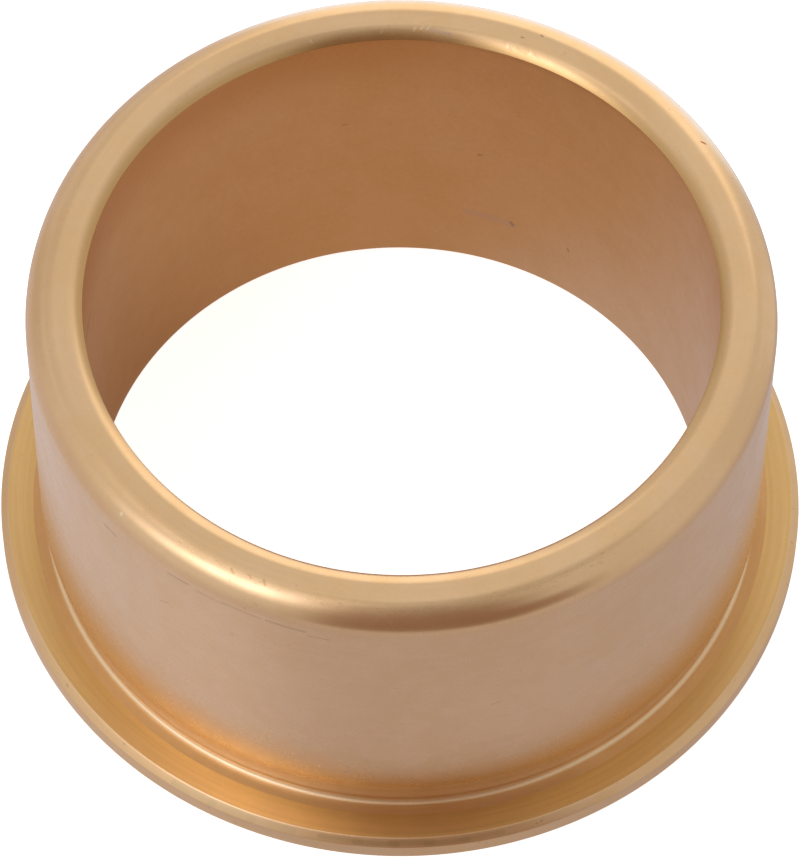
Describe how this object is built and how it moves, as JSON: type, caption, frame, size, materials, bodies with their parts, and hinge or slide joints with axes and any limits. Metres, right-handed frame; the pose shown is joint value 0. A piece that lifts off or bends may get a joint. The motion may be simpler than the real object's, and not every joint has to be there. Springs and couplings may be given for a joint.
{
  "type": "flanged sleeve bushing",
  "caption": "One-piece bronze flanged sleeve bushing: a straight bore and sleeve with a rounded free lip, and a thin chamfered flange with a relief in its corner.",
  "frame": {"origin": "on the bore's axis, in the plane of the flange's thrust face", "axes": "+Z along the bore, from the flange towards the rounded free end"},
  "size_m": [0.046, 0.046, 0.0222],
  "materials": {
    "bearing_bronze": "satin, fine turned, with a faint golden tarnish"
  },
  "bodies": {
    "root": {"flanged_bushing": "bearing_bronze"}
  },
  "joints": []
}
